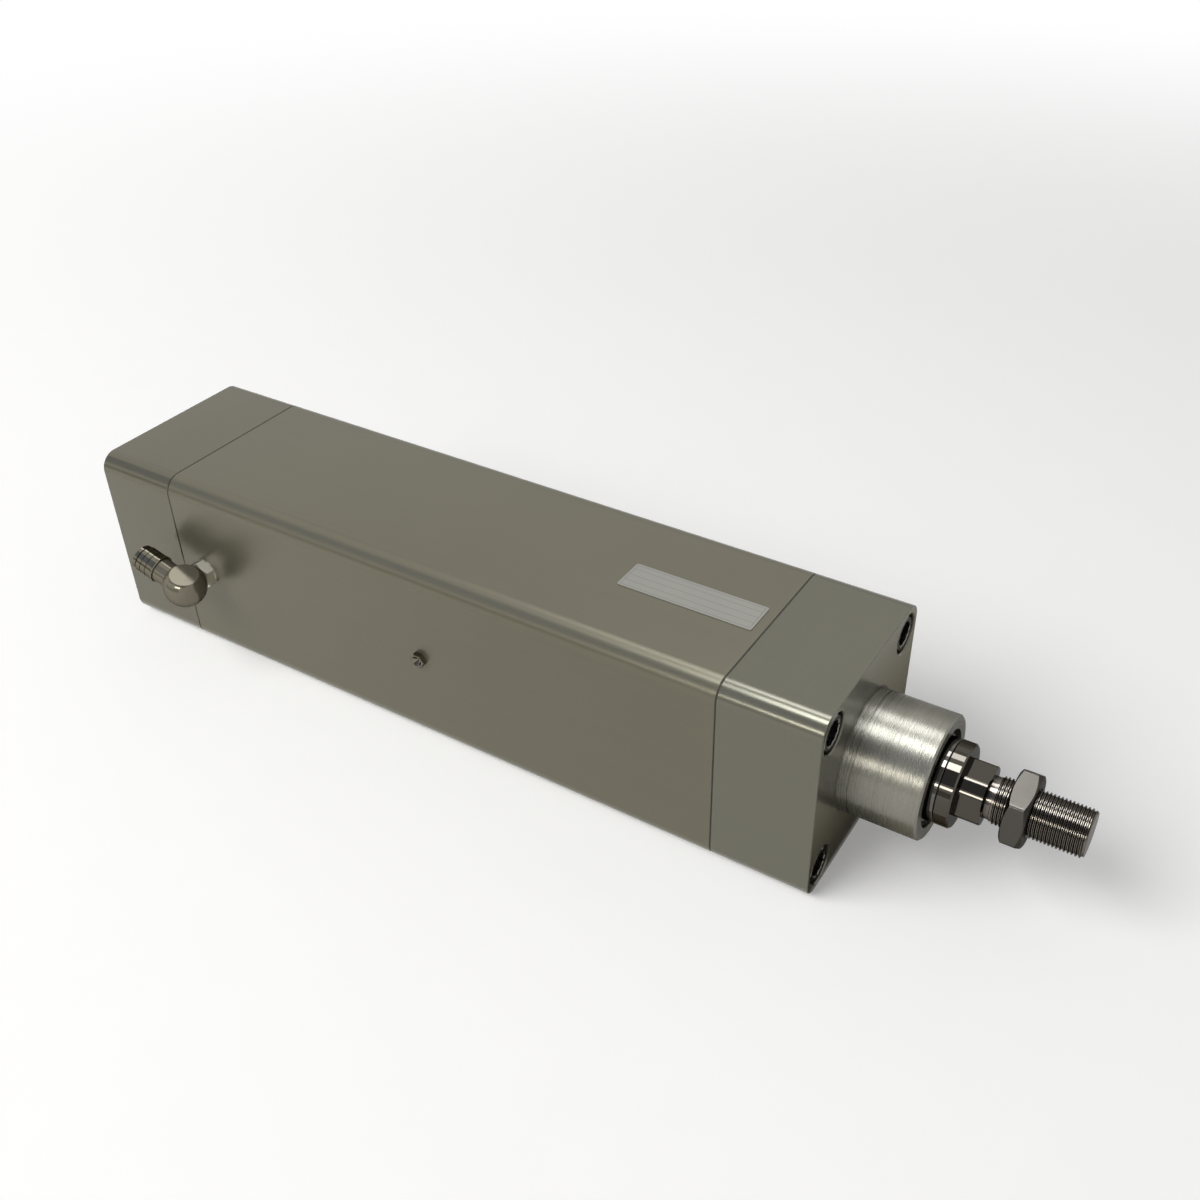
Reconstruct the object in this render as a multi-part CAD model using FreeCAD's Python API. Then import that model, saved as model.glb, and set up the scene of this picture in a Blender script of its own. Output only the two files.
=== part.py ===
import FreeCAD, Part
import os
from math import cos, floor, pi, radians, sin, sqrt, tan
from FreeCAD import Placement, Rotation, Vector

# Electric cylinder: a ball screw in a square aluminium body drives a hollow rod with a threaded end.
# Millimetres. The origin is where the rod's axis meets the front mounting face, +X is the way
# the rod comes out, +Z is up. The rod is drawn fully retracted.

# Body: square profile with two end caps, flat gaskets between them
body_width = 95.0
body_edge_radius = 8.5
rim_chamfer = 0.25
front_cap_length = 45.0
barrel_wall = 11.5
gasket_thickness = 0.5
gasket_inset = 0.5

# Stroke and what takes up length inside the barrel
stroke = 200.0
end_gap = 2.0
buffer_length = 6.0
buffer_width = 9.0
carrier_length = 75.0
nut_flange_length = 10.0

# Cap screws: round heads with a female thread that also takes the mounting bolts
bolt_edge_distance = 11.5
screw_head_radius = 8.0
screw_head_length = 18.0
screw_head_recess = 0.5
screw_shank_radius = 5.0
screw_engagement = 18.0
screw_thread_core_radius = 4.25
screw_thread_depth = 15.0
screw_edge_chamfer = 0.8
counterbore_gap = 1.0
counterbore_chamfer = 0.5
tapping_spare = 4.0

# Guide sleeve: the turned boss on the front cap, with the rod's bush, seal and wiper
spigot_length = 34.0
spigot_wall = 5.7
spigot_chamfer = 0.8
centring_length = 4.4
centring_groove_width = 0.4
centring_groove_depth = 0.5
sleeve_seat_step = 1.0
bush_wall = 3.0
bush_length = 36.0
seal_section = 3.2
seal_length = 7.0
seal_from_bush = 6.0
wiper_section = 3.3
wiper_depth = 8.0
wiper_set_back = 1.4
wiper_lip_length = 1.6
wiper_lip_width = 0.7

# Rod: hollow tube, screwed-in end with a square shank and a male thread, thin lock nut
rod_diameter = 36.0
rod_stand_out = 3.2
rod_edge_chamfer = 0.4
tube_engagement = 30.0
collar_length = 6.3
plug_length = 24.0
shank_length = 10.5
shank_across_flats = 22.0
shank_turned_diameter = 24.8
undercut_length = 2.5
undercut_depth = 1.1
thread_diameter = 20.0
thread_core_depth = 0.9
thread_length = 37.8
thread_tip_chamfer = 1.3
lock_nut_across_flats = 30.0
lock_nut_thickness = 9.0
lock_nut_from_shank = 8.7
lock_nut_turn = 19.2
nut_thread_clearance = 0.09

# Ball screw drive inside the barrel
screw_diameter = 25.0
tube_bore_gap = 1.0
carrier_gap = 1.0
carrier_bore_gap = 1.5
nut_wall = 9.5
nut_body_length = 40.0
nut_bore_gap = 0.3
nut_flange_step = 0.5
nut_screw_count = 6
nut_screw_radius = 2.5
nut_screw_head_radius = 4.0
nut_screw_head_height = 5.0
nut_screw_length = 22.0
nut_screw_clearance = 0.4
guide_ring_width = 10.0
guide_ring_depth = 2.5
guide_ring_from_front = 6.0
groove_width = 12.4
groove_depth = 4.0
pad_length = 40.0
pad_seat_depth = 2.0
pad_side_clearance = 0.2
pad_top_clearance = 0.3
tip_overlap = 35.0
tip_journal_radius = 8.0
tip_bush_length = 12.0
tip_clip_width = 1.2
tip_clip_groove_depth = 0.8
tip_clip_height = 1.6

# Fixed bearing, its nuts and the drive journal in the rear cap
bearing_bore = 17.0
bearing_outer = 47.0
bearing_width = 25.0
ball_share = 0.27
ball_clearance = 0.1
ball_spacing = 1.05
retainer_length = 3.0
retainer_wall = 6.0
spanner_slot_width = 5.0
spanner_slot_depth = 3.0
spanner_slot_count = 4
bearing_nut_wall = 7.5
bearing_nut_length = 10.0
rear_bore_gap = 2.0
shaft_seal_length = 7.0
seal_step = 0.5
rear_spigot_length = 4.0
journal_diameter = 14.0
journal_length = 30.0
journal_chamfer = 1.0

# Grease nipple, type plate and air fitting on the outside of the barrel
nipple_thread_radius = 3.0
nipple_thread_length = 8.0
nipple_across_flats = 6.6
nipple_hex_height = 2.6
nipple_funnel_radius = 2.6
nipple_funnel_depth = 2.2
nipple_mouth_radius = 0.8
plate_length = 64.0
plate_width = 17.5
plate_thickness = 0.3
plate_corner_radius = 1.0
plate_from_joint = 4.6
fitting_from_joint = 15.5
fitting_thread_radius = 4.86
fitting_thread_length = 9.0
washer_thickness = 0.8
washer_width = 1.9
fitting_across_flats = 13.0
fitting_hex_height = 5.0
fitting_hex_turn = 30.0
fitting_bore_radius = 1.8
swivel_gap = 0.4
swivel_post_radius = 4.5
swivel_post_end_gap = 0.5
swivel_post_beyond_outlet = 5.2
swivel_ring_radius = 0.5
swivel_ring_inset = 2.0
clip_from_end = 1.6
feed_groove_width = 3.0
feed_groove_depth = 0.9
head_radius = 10.6
head_flat_height = 8.0
head_flat_draft = 4.0
outlet_height = 14.5
outlet_tilt = 16.0
outlet_bore_radius = 2.5
neck_radius = 6.2
neck_length = 15.6
stub_radius = 5.2
stub_length = 3.2
tube_collar_length = 10.6
tube_collar_radius = 6.8
tube_collar_rim = 0.3
tube_collar_rim_width = 1.2
tube_collar_grooves = 2
tube_collar_groove_width = 0.4
tube_collar_groove_depth = 0.3
tube_collar_chamfer = 0.3
tube_seal_width = 1.4
air_tube_radius = 4.1
release_travel = 0.6
release_inner_length = 5.2
release_flange_length = 2.0
release_flange_radius = 6.3

# Clearances, hexagons and cutters
hex_sides = 6
hex_chamfer_share = 0.95
bevel_angle = 30.0
running_clearance = 0.1
seat_clearance = 0.02
thread_clearance = 0.05
hole_clearance = 0.5
overshoot = 1.0
full_turn = 360.0

# Places along the rod's axis
front_cap_back = -front_cap_length
barrel_front = front_cap_back - gasket_thickness
cavity_length = 2 * buffer_length + 2 * end_gap + nut_flange_length + carrier_length + stroke
barrel_length = cavity_length - 2 * gasket_thickness
barrel_back = barrel_front - barrel_length
rear_cap_front = barrel_back - gasket_thickness
bearing_front = rear_cap_front - retainer_length
bearing_back = bearing_front - bearing_width
bearing_middle = (bearing_front + bearing_back) / 2
bearing_nut_back = bearing_back - bearing_nut_length
rear_face = bearing_nut_back - shaft_seal_length
rear_spigot_end = rear_face - rear_spigot_length
journal_end = rear_spigot_end - journal_length
nut_flange_back = rear_cap_front + buffer_length + end_gap
carrier_back = nut_flange_back + nut_flange_length
carrier_front = carrier_back + carrier_length
nut_body_front = carrier_back + nut_body_length
guide_ring_front = carrier_front - guide_ring_from_front
guide_ring_back = guide_ring_front - guide_ring_width
pad_middle = (carrier_back + guide_ring_back) / 2
pad_back = pad_middle - pad_length / 2
pad_front = pad_middle + pad_length / 2
tube_back = carrier_front - tube_engagement
tube_front = spigot_length + rod_stand_out
screw_tip = tube_back + stroke + tip_overlap
tip_clip_front = screw_tip - tip_clip_width
tip_clip_back = tip_clip_front - tip_clip_width
tip_bush_back = tip_clip_back - tip_bush_length
collar_front = tube_front + collar_length
shank_front = collar_front + shank_length
thread_back = shank_front + undercut_length
thread_front = thread_back + thread_length
lock_nut_back = shank_front + lock_nut_from_shank
lock_nut_front = lock_nut_back + lock_nut_thickness
bush_front = front_cap_back + bush_length
seal_back = bush_front + seal_from_bush
wiper_back = spigot_length - wiper_depth
wiper_front = spigot_length - wiper_set_back
mid_body = rear_face / 2
fitting_x = barrel_back + fitting_from_joint

# Radii and half widths
half_width = body_width / 2
bolt_offset = half_width - bolt_edge_distance
bore_radius = half_width - barrel_wall
rod_radius = rod_diameter / 2
wiper_seat_radius = rod_radius + wiper_section
spigot_radius = wiper_seat_radius + spigot_wall
sleeve_seat_radius = spigot_radius + sleeve_seat_step
bush_seat_radius = rod_radius + bush_wall
seal_seat_radius = rod_radius + seal_section
rod_path_radius = rod_radius + hole_clearance
screw_radius = screw_diameter / 2
tube_bore_radius = screw_radius + tube_bore_gap
carrier_radius = bore_radius - carrier_gap
nut_body_radius = screw_radius + nut_wall
nut_flange_radius = carrier_radius - nut_flange_step
nut_screw_circle = (nut_body_radius + nut_flange_radius) / 2
thread_radius = thread_diameter / 2
thread_core_radius = thread_radius - thread_core_depth
bearing_bore_radius = bearing_bore / 2
bearing_outer_radius = bearing_outer / 2
ball_circle = (bearing_bore_radius + bearing_outer_radius) / 2
bearing_section = bearing_outer_radius - bearing_bore_radius
ball_radius = ball_share * bearing_section
bearing_nut_radius = bearing_bore_radius + bearing_nut_wall
rear_bore_radius = bearing_nut_radius + rear_bore_gap
journal_radius = journal_diameter / 2
seal_journal_radius = journal_radius + seal_step
groove_top = bore_radius + groove_depth
pad_seat = carrier_radius - pad_seat_depth
counterbore_radius = screw_head_radius + counterbore_gap

bolt_places = [(y, z) for y in (-bolt_offset, bolt_offset) for z in (-bolt_offset, bolt_offset)]


def turned(points):
    """Solid of revolution about X from its half profile, a closed run of (x, radius) points."""
    corners = [Vector(x, radius, 0) for x, radius in points]
    outline = Part.makePolygon(corners + corners[:1])
    solid = Part.Face(outline).revolve(Vector(0, 0, 0), Vector(1, 0, 0), full_turn)
    if solid.Volume < 0:
        solid.reverse()
    return solid


def bar(x0, x1, radius):
    """Round bar about X."""
    return Part.makeCylinder(radius, x1 - x0, Vector(x0, 0, 0), Vector(1, 0, 0))


def ring(x0, x1, inner, outer):
    """Plain ring about X."""
    return turned([(x0, inner), (x1, inner), (x1, outer), (x0, outer)])


def hex_bar(x0, x1, across_flats, turn):
    """Hexagonal bar about X; turn is the angle of one corner from +Y towards +Z, in degrees."""
    corner = across_flats / sqrt(3)
    angles = [radians(turn + full_turn / hex_sides * k) for k in range(hex_sides)]
    corners = [Vector(x0, corner * cos(a), corner * sin(a)) for a in angles]
    return Part.Face(Part.makePolygon(corners + corners[:1])).extrude(Vector(x1 - x0, 0, 0))


def chamfered_hex(x0, x1, across_flats, turn, both_ends):
    """Hexagon whose corners are turned off at the x1 end or at both ends."""
    corner = across_flats / sqrt(3)
    small = across_flats / 2 * hex_chamfer_share
    drop = (corner - small) * tan(radians(bevel_angle))
    back = [(x0, 0), (x0, small), (x0 + drop, corner)] if both_ends else [(x0, 0), (x0, corner)]
    envelope = turned(back + [(x1 - drop, corner), (x1, small), (x1, 0)])
    return hex_bar(x0, x1, across_flats, turn).common(envelope)


def block(x0, x1, y0, y1, z0, z1):
    """Rectangular block from its limits."""
    return Part.makeBox(x1 - x0, y1 - y0, z1 - z0, Vector(x0, y0, z0))


def at(shape, y, z):
    """Copy of a shape moved across the axis."""
    moved = shape.copy()
    moved.translate(Vector(0, y, z))
    return moved


def placed(shape, frame):
    """Copy of a shape put into a frame."""
    moved = shape.copy()
    moved.Placement = frame.multiply(moved.Placement)
    return moved


def body_block(x0, x1, width, edge_radius):
    """Square bar along X with its four long edges rounded."""
    half = width / 2
    solid = block(x0, x1, -half, half, -half, half)
    long_edges = [e for e in solid.Edges if abs(e.Vertexes[0].X - e.Vertexes[1].X) > (x1 - x0) / 2]
    return solid.makeFillet(edge_radius, long_edges)


def profile_piece(x0, x1):
    """Length of the body profile with its end rims lightly broken."""
    solid = body_block(x0, x1, body_width, body_edge_radius)
    rims = [e for e in solid.Edges if abs(e.BoundBox.XLength) < rim_chamfer / 2]
    return solid.makeChamfer(rim_chamfer, rims)


def around(shape, count):
    """Copies of a shape at equal angles about X."""
    copies = []
    for k in range(count):
        copy = shape.copy()
        copy.rotate(Vector(0, 0, 0), Vector(1, 0, 0), full_turn * k / count)
        copies.append(copy)
    return copies


def facing_back(shape, x):
    """Copy of a shape drawn with its face at x = 0, turned round to face -X at the given place."""
    copy = shape.copy()
    copy.rotate(Vector(0, 0, 0), Vector(0, 0, 1), full_turn / 2)
    copy.translate(Vector(x, 0, 0))
    return copy


def facing_front(shape, x):
    """Copy of a shape drawn with its face at x = 0, moved along the axis."""
    copy = shape.copy()
    copy.translate(Vector(x, 0, 0))
    return copy


def cap_screw(cap_length):
    """Cap screw with its face at x = 0: female thread in the head, shank down into the barrel."""
    tip = screw_head_recess - cap_length - gasket_thickness - screw_engagement
    drill_point = screw_thread_depth + screw_thread_core_radius * tan(radians(bevel_angle))
    return turned([
        (-drill_point, 0),
        (-screw_thread_depth, screw_thread_core_radius),
        (-screw_edge_chamfer, screw_thread_core_radius),
        (0, screw_thread_core_radius + screw_edge_chamfer),
        (0, screw_head_radius - screw_edge_chamfer),
        (-screw_edge_chamfer, screw_head_radius),
        (-screw_head_length, screw_head_radius),
        (-screw_head_length, screw_shank_radius),
        (tip + screw_edge_chamfer, screw_shank_radius),
        (tip, screw_shank_radius - screw_edge_chamfer),
        (tip, 0),
    ])


def cap_hole(cap_length):
    """Cutter for one cap screw, with the cap's face at x = 0: counterbore, rim and clearance hole."""
    floor_x = -screw_head_recess - screw_head_length
    return turned([
        (-cap_length - overshoot, 0),
        (-cap_length - overshoot, screw_shank_radius + hole_clearance),
        (floor_x, screw_shank_radius + hole_clearance),
        (floor_x, counterbore_radius),
        (-counterbore_chamfer, counterbore_radius),
        (0, counterbore_radius + counterbore_chamfer),
        (overshoot, counterbore_radius + counterbore_chamfer),
        (overshoot, 0),
    ])


def front_cap():
    cap = profile_piece(front_cap_back, 0)
    cap = cap.cut(bar(front_cap_back - overshoot, overshoot, sleeve_seat_radius + seat_clearance))
    hole = cap_hole(front_cap_length)
    return cap.cut([at(hole, y, z) for y, z in bolt_places])


def rear_cap():
    cap = profile_piece(rear_face, rear_cap_front)
    cap = cap.fuse(bar(rear_spigot_end, rear_face + overshoot, spigot_radius))
    cap = cap.cut(bar(bearing_back, rear_cap_front + overshoot, bearing_outer_radius + seat_clearance))
    cap = cap.cut(bar(rear_spigot_end - overshoot, bearing_back + overshoot, rear_bore_radius))
    hole = facing_back(cap_hole(rear_cap_front - rear_face), rear_face)
    return cap.cut([at(hole, y, z) for y, z in bolt_places])


def barrel():
    tube = profile_piece(barrel_back, barrel_front)
    tube = tube.cut(bar(barrel_back - overshoot, barrel_front + overshoot, bore_radius))
    half_groove = groove_width / 2
    groove = block(barrel_back - overshoot, barrel_front + overshoot,
                   -half_groove, half_groove, -groove_top, groove_top)
    depth = screw_engagement - 2 * screw_head_recess + tapping_spare
    front_hole = bar(barrel_front - depth, barrel_front + overshoot, screw_shank_radius + thread_clearance)
    rear_hole = bar(barrel_back - overshoot, barrel_back + depth, screw_shank_radius + thread_clearance)
    holes = [at(hole, y, z) for hole in (front_hole, rear_hole) for y, z in bolt_places]
    ports = [side_hole(fitting_x, fitting_thread_radius), side_hole(mid_body, nipple_thread_radius)]
    return tube.cut([groove] + holes + ports)


def side_hole(x, thread_radius):
    """Cutter for a tapped hole through the barrel's -Y wall."""
    radius = thread_radius + thread_clearance
    length = barrel_wall + 2 * overshoot
    return Part.makeCylinder(radius, length, Vector(x, -half_width - overshoot, 0), Vector(0, 1, 0))


def gasket(x0, x1):
    sheet = body_block(x0, x1, body_width - 2 * gasket_inset, body_edge_radius - gasket_inset)
    sheet = sheet.cut(bar(x0 - overshoot, x1 + overshoot, groove_top + overshoot))
    hole = bar(x0 - overshoot, x1 + overshoot, screw_shank_radius + hole_clearance)
    return sheet.cut([at(hole, y, z) for y, z in bolt_places])


def guide_sleeve():
    """Turned boss, screwed into the cap up to its face, with the seats of bush, seal and wiper."""
    groove_end = centring_length + centring_groove_width
    groove_radius = spigot_radius - centring_groove_depth
    return turned([
        (front_cap_back, bush_seat_radius),
        (bush_front, bush_seat_radius),
        (bush_front, rod_path_radius),
        (seal_back, rod_path_radius),
        (seal_back, seal_seat_radius),
        (seal_back + seal_length, seal_seat_radius),
        (seal_back + seal_length, rod_path_radius),
        (wiper_back, rod_path_radius),
        (wiper_back, wiper_seat_radius),
        (spigot_length, wiper_seat_radius),
        (spigot_length, spigot_radius - spigot_chamfer),
        (spigot_length - spigot_chamfer, spigot_radius),
        (groove_end, spigot_radius),
        (groove_end, groove_radius),
        (centring_length, groove_radius),
        (centring_length, spigot_radius),
        (0, spigot_radius),
        (0, sleeve_seat_radius),
        (front_cap_back, sleeve_seat_radius),
    ])


def rod_guide_bush():
    return ring(front_cap_back, bush_front, rod_radius + running_clearance, bush_seat_radius - seat_clearance)


def rod_seal():
    """Lip seal with an open mouth towards the inside."""
    inner = rod_radius + running_clearance
    outer = seal_seat_radius - seat_clearance
    notch = (inner + outer) / 2
    lip = (outer - inner) / 4
    seal_front = seal_back + seal_length
    return turned([
        (seal_back + seat_clearance, inner),
        (seal_front - seat_clearance, inner),
        (seal_front - seat_clearance, outer),
        (seal_back + seat_clearance, outer),
        (seal_back + seat_clearance, notch + lip),
        (seal_back + seal_length / 2, notch),
        (seal_back + seat_clearance, notch - lip),
    ])


def rod_wiper():
    """Wiper ring set back in the boss, with a lip that reaches forward round the rod."""
    inner = rod_radius + running_clearance
    outer = wiper_seat_radius - seat_clearance
    return turned([
        (wiper_back, rod_path_radius),
        (wiper_back + wiper_lip_length, rod_path_radius),
        (wiper_front - wiper_lip_length, inner),
        (wiper_front, inner),
        (wiper_front, inner + wiper_lip_width),
        (wiper_front - wiper_lip_length, inner + 2 * wiper_lip_width),
        (wiper_front - wiper_lip_length, outer),
        (wiper_back, outer),
    ])


def front_buffer():
    outer = carrier_radius - carrier_gap
    return ring(front_cap_back - buffer_length, front_cap_back, outer - buffer_width, outer)


def rear_buffer():
    outer = carrier_radius - carrier_gap
    return ring(rear_cap_front, rear_cap_front + buffer_length, outer - buffer_width, outer)


def rod_tube():
    return turned([
        (tube_back, tube_bore_radius),
        (tube_front, tube_bore_radius),
        (tube_front, rod_radius - rod_edge_chamfer),
        (tube_front - rod_edge_chamfer, rod_radius),
        (tube_back + rod_edge_chamfer, rod_radius),
        (tube_back, rod_radius - rod_edge_chamfer),
    ])


def rod_end():
    """Screwed-in rod end: plug, collar, square shank, undercut and male thread.

    The stretch under the lock nut is at the thread's core, where the nut's thread fills it.
    """
    plug_radius = tube_bore_radius - thread_clearance
    collar = turned([
        (tube_front - plug_length, 0),
        (tube_front - plug_length, plug_radius),
        (tube_front, plug_radius),
        (tube_front, rod_radius - rod_edge_chamfer),
        (tube_front + rod_edge_chamfer, rod_radius),
        (collar_front - 2 * rod_edge_chamfer, rod_radius),
        (collar_front, rod_radius - 2 * rod_edge_chamfer),
        (collar_front, 0),
    ])
    half_square = shank_across_flats / 2
    shank = bar(collar_front, shank_front, shank_turned_diameter / 2)
    shank = shank.common(block(collar_front, shank_front, -half_square, half_square, -half_square, half_square))
    undercut_radius = thread_radius - undercut_depth
    stud = turned([
        (shank_front, 0),
        (shank_front, undercut_radius),
        (thread_back, undercut_radius),
        (thread_back, thread_radius),
        (lock_nut_back, thread_radius),
        (lock_nut_back, thread_core_radius),
        (lock_nut_front, thread_core_radius),
        (lock_nut_front, thread_radius),
        (thread_front - thread_tip_chamfer, thread_radius),
        (thread_front, thread_core_radius),
        (thread_front, 0),
    ])
    return collar.fuse([shank, stud])


def lock_nut():
    nut = chamfered_hex(lock_nut_back, lock_nut_front, lock_nut_across_flats, lock_nut_turn, True)
    bore = thread_core_radius + nut_thread_clearance
    return nut.cut(bar(lock_nut_back - overshoot, lock_nut_front + overshoot, bore))


def nut_carrier():
    """Sliding sleeve that joins ball nut and rod tube and runs in the barrel's bore."""
    body = turned([
        (carrier_back, nut_body_radius + seat_clearance),
        (nut_body_front, nut_body_radius + seat_clearance),
        (nut_body_front, screw_radius + carrier_bore_gap),
        (tube_back, screw_radius + carrier_bore_gap),
        (tube_back, rod_radius + thread_clearance),
        (carrier_front, rod_radius + thread_clearance),
        (carrier_front, carrier_radius),
        (guide_ring_front, carrier_radius),
        (guide_ring_front, carrier_radius - guide_ring_depth),
        (guide_ring_back, carrier_radius - guide_ring_depth),
        (guide_ring_back, carrier_radius),
        (carrier_back, carrier_radius),
    ])
    low = pad_back - seat_clearance
    high = pad_front + seat_clearance
    half = groove_width / 2 - pad_side_clearance + seat_clearance
    seats = [block(low, high, -half, half, pad_seat, groove_top),
             block(low, high, -half, half, -groove_top, -pad_seat)]
    tapped = bar(carrier_back - overshoot, carrier_back + nut_screw_length - nut_flange_length + tapping_spare,
                 nut_screw_radius + thread_clearance)
    return body.cut(seats + around(at(tapped, nut_screw_circle, 0), nut_screw_count))


def guide_pads():
    """Two slide blocks that run in the barrel's grooves and keep the rod from turning."""
    half = groove_width / 2 - pad_side_clearance
    top = groove_top - pad_top_clearance
    upper = block(pad_back, pad_front, -half, half, pad_seat, top)
    lower = block(pad_back, pad_front, -half, half, -top, -pad_seat)
    return Part.makeCompound([upper, lower])


def carrier_guide_ring():
    inner = carrier_radius - guide_ring_depth + seat_clearance
    return ring(guide_ring_back + seat_clearance, guide_ring_front - seat_clearance,
                inner, bore_radius - running_clearance)


def ball_nut():
    """Flanged ball nut; the flange carries the counterbored screw holes."""
    bore = screw_radius + nut_bore_gap
    body = turned([
        (nut_flange_back, bore),
        (nut_body_front, bore),
        (nut_body_front, nut_body_radius),
        (carrier_back, nut_body_radius),
        (carrier_back, nut_flange_radius),
        (nut_flange_back, nut_flange_radius),
    ])
    head_floor = nut_flange_back + nut_screw_head_height
    hole = bar(nut_flange_back - overshoot, carrier_back + overshoot, nut_screw_radius + nut_screw_clearance)
    sink = bar(nut_flange_back - overshoot, head_floor, nut_screw_head_radius + nut_screw_clearance)
    return body.cut(around(at(hole.fuse(sink), nut_screw_circle, 0), nut_screw_count))


def ball_nut_screws():
    head_floor = nut_flange_back + nut_screw_head_height
    tip = nut_flange_back + nut_screw_length
    screw = turned([
        (nut_flange_back, 0),
        (nut_flange_back, nut_screw_head_radius),
        (head_floor, nut_screw_head_radius),
        (head_floor, nut_screw_radius),
        (tip, nut_screw_radius),
        (tip, 0),
    ])
    return Part.makeCompound(around(at(screw, nut_screw_circle, 0), nut_screw_count))


def ball_screw():
    """Screw spindle: tip journal, threaded length, bearing seat, nut thread and drive journal."""
    return turned([
        (journal_end, 0),
        (journal_end, journal_radius - journal_chamfer),
        (journal_end + journal_chamfer, journal_radius),
        (rear_face, journal_radius),
        (rear_face, seal_journal_radius),
        (bearing_nut_back, seal_journal_radius),
        (bearing_nut_back, bearing_bore_radius),
        (bearing_front, bearing_bore_radius),
        (bearing_front, screw_radius),
        (tip_bush_back, screw_radius),
        (tip_bush_back, tip_journal_radius),
        (tip_clip_back, tip_journal_radius),
        (tip_clip_back, tip_journal_radius - tip_clip_groove_depth),
        (tip_clip_front, tip_journal_radius - tip_clip_groove_depth),
        (tip_clip_front, tip_journal_radius),
        (screw_tip, tip_journal_radius),
        (screw_tip, 0),
    ])


def screw_tip_bush():
    return ring(tip_bush_back, tip_clip_back, tip_journal_radius + seat_clearance,
                tube_bore_radius - running_clearance)


def screw_tip_clip():
    inner = tip_journal_radius - tip_clip_groove_depth + seat_clearance
    return ring(tip_clip_back, tip_clip_front, inner, tip_journal_radius + tip_clip_height)


def ball_rows():
    """Middle of each ball row along the axis."""
    row = bearing_width / 4
    return bearing_middle - row, bearing_middle + row


def bearing_tracks():
    """Cutters for the two ball tracks."""
    track = ball_radius + ball_clearance
    return [Part.makeTorus(ball_circle, track, Vector(x, 0, 0), Vector(1, 0, 0)) for x in ball_rows()]


def bearing_outer_ring():
    inner = ball_circle + ball_radius / 2
    return ring(bearing_back, bearing_front, inner, bearing_outer_radius).cut(bearing_tracks())


def bearing_inner_rings():
    """Split inner ring, one half per ball row."""
    outer = ball_circle - ball_radius / 2
    inner = bearing_bore_radius + seat_clearance
    rear_half = ring(bearing_back, bearing_middle, inner, outer).cut(bearing_tracks())
    front_half = ring(bearing_middle, bearing_front, inner, outer).cut(bearing_tracks())
    return Part.makeCompound(rear_half.Solids + front_half.Solids)


def bearing_balls():
    count = floor(2 * pi * ball_circle / (2 * ball_radius * ball_spacing))
    balls = []
    for x in ball_rows():
        ball = Part.makeSphere(ball_radius, Vector(x, ball_circle, 0))
        balls += around(ball, count)
    return Part.makeCompound(balls)


def slotted(shape, x0, x1, low, high):
    """Cut spanner slots into a ring, between two distances from the axis."""
    half = spanner_slot_width / 2
    slot = block(x0, x1, low, high, -half, half)
    return shape.cut(around(slot, spanner_slot_count))


def bearing_retainer():
    """Ring nut that holds the bearing's outer ring in the rear cap."""
    inner = bearing_outer_radius - retainer_wall
    nut = ring(bearing_front, rear_cap_front, inner, bearing_outer_radius - seat_clearance)
    slot_floor = bearing_front + retainer_length / 2
    return slotted(nut, slot_floor, rear_cap_front + overshoot, inner - overshoot, inner + spanner_slot_depth)


def bearing_lock_nut():
    nut = ring(bearing_nut_back, bearing_back, bearing_bore_radius + thread_clearance, bearing_nut_radius)
    return slotted(nut, bearing_nut_back - overshoot, bearing_back + overshoot,
                   bearing_nut_radius - spanner_slot_depth, bearing_nut_radius + overshoot)


def shaft_seal():
    return ring(rear_face, bearing_nut_back, seal_journal_radius + running_clearance,
                rear_bore_radius - seat_clearance)


def type_plate():
    """Bare plate on top of the barrel, behind the front cap."""
    front = barrel_front - plate_from_joint
    half = plate_width / 2
    plate = block(front - plate_length, front, -half, half, half_width, half_width + plate_thickness)
    uprights = [e for e in plate.Edges if abs(e.Vertexes[0].Z - e.Vertexes[1].Z) > plate_thickness / 2]
    return plate.makeFillet(plate_corner_radius, uprights)


# Frames of the side fittings: local +X points out of the barrel's -Y face
outwards = Rotation(Vector(1, 0, 0), Vector(0, -1, 0))
nipple_frame = Placement(Vector(mid_body, -half_width, 0), outwards)
stem_frame = Placement(Vector(fitting_x, -half_width, 0), outwards)

# Frame of the elbow's outlet: local +X along the outlet, +Y out of the barrel, +Z up
tilt = radians(outlet_tilt)
outlet_way = Vector(-cos(tilt), 0, sin(tilt))
outlet_up = Vector(sin(tilt), 0, cos(tilt))
outlet_frame = Placement(Vector(fitting_x, -half_width - outlet_height, 0),
                         Rotation(outlet_way, Vector(0, -1, 0), outlet_up, "XYZ"))

hex_top = washer_thickness + fitting_hex_height
head_back = hex_top + swivel_gap
post_end = outlet_height + swivel_post_beyond_outlet
post_bore_radius = swivel_post_radius + running_clearance
swivel_ring_height = head_back + swivel_ring_inset
clip_height = post_end - clip_from_end


def grease_nipple():
    """Hexagon nipple with a funnel in its face for the grease gun, and a feed bore."""
    hexagon = chamfered_hex(0, nipple_hex_height, nipple_across_flats, 0, False)
    body = hexagon.fuse(bar(-nipple_thread_length, nipple_hex_height / 2, nipple_thread_radius))
    funnel = turned([
        (-nipple_thread_length - overshoot, 0),
        (-nipple_thread_length - overshoot, nipple_mouth_radius),
        (nipple_hex_height - nipple_funnel_depth, nipple_mouth_radius),
        (nipple_hex_height, nipple_funnel_radius),
        (nipple_hex_height + overshoot, nipple_funnel_radius),
        (nipple_hex_height + overshoot, 0),
    ])
    return placed(body.cut(funnel), nipple_frame)


def fitting_washer():
    inner = fitting_thread_radius + thread_clearance
    return placed(ring(0, washer_thickness, inner, inner + washer_width), stem_frame)


def ring_groove(height):
    """Cutter for a round wire's groove in the swivel post and in the bore around it."""
    return Part.makeTorus(swivel_post_radius, swivel_ring_radius + running_clearance,
                          Vector(height, 0, 0), Vector(1, 0, 0))


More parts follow.
